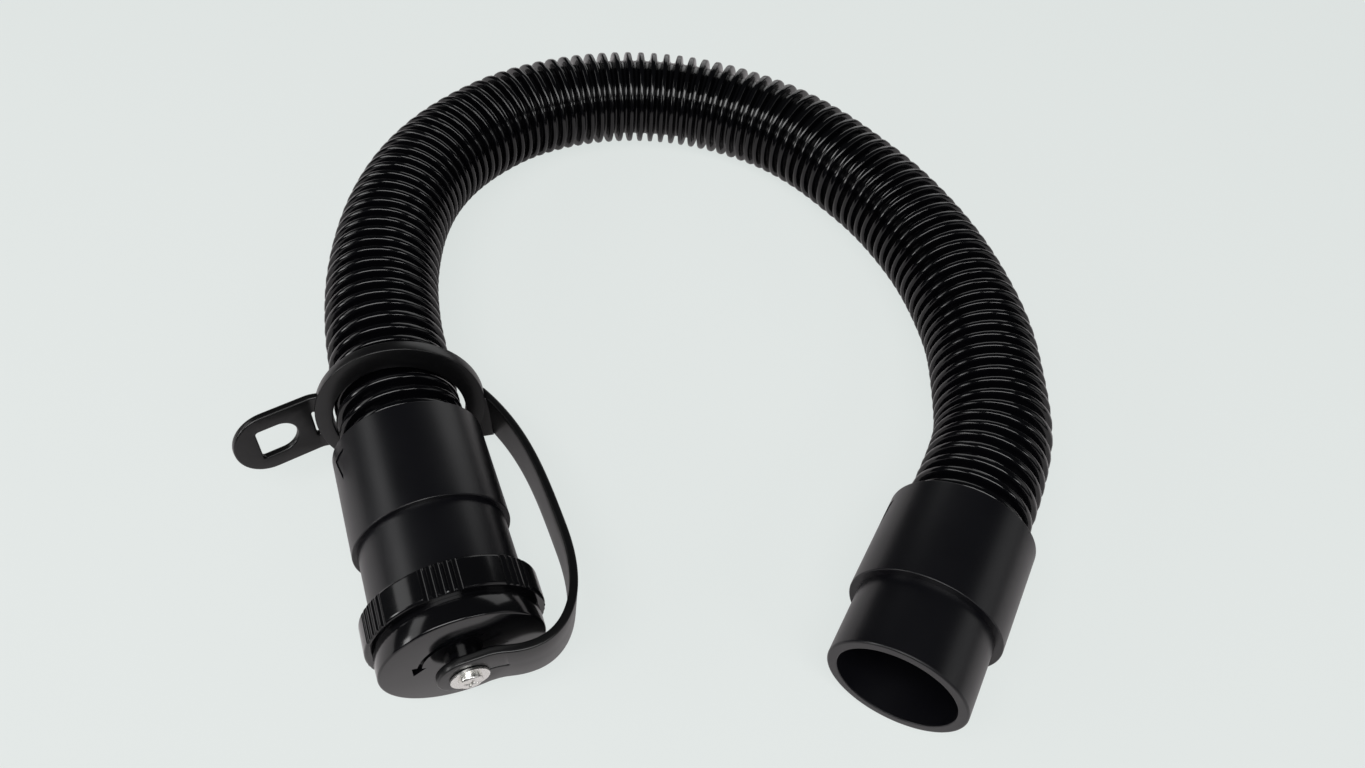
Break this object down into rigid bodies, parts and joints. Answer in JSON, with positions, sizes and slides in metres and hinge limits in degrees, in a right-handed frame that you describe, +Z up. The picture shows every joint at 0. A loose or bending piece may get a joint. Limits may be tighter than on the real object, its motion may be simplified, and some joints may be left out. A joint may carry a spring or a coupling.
{
  "type": "sewer hose kit",
  "caption": "Short ribbed drain hose bent round, with a like stepped cuff on each end; one cuff is open, the other shut by a tethered push-in cap with a grip ring.",
  "frame": {"origin": "on the surface the kit lies on, under the middle of the box round the cuffs, cap and tether (the hose left out)", "axes": "+X across from the drain end to the machine end, +Y back towards the hose's bend, +Z up; the open ends face -Y"},
  "size_m": [0.319, 0.3655, 0.0638],
  "materials": {
    "hose_rubber": "satin",
    "cuff_plastic": "satin",
    "cap_plastic": "satin gloss",
    "tether_rubber": "matt",
    "seal_rubber": "matt",
    "screw_steel": "bright zinc"
  },
  "bodies": {
    "hose_line": {"hose": "hose_rubber", "drain_cuff": "cuff_plastic", "drain_collar": "cuff_plastic", "machine_cuff": "cuff_plastic", "machine_collar": "cuff_plastic", "tether_ring": "tether_rubber"},
    "strap_eye": {"tether_strap": "tether_rubber"},
    "drain_cap": {"cap_body": "cap_plastic", "grip_ring": "cap_plastic", "plug_sleeve": "cap_plastic", "plug_seal": "seal_rubber", "cap_washer": "screw_steel", "cap_screw": "screw_steel"}
  },
  "joints": [
    {"name": "cap_pull", "type": "slide", "parent": "hose_line", "child": "strap_eye", "axis": [0.4571, -0.8894, 0], "range_m": [0, 0.024], "deforming": ["tether_strap"]},
    {"name": "cap_turn", "type": "hinge", "parent": "strap_eye", "child": "drain_cap", "pos_m": [-0.0477, -0.048, 0.0302], "axis": [0.4571, -0.8894, 0], "continuous": true}
  ]
}
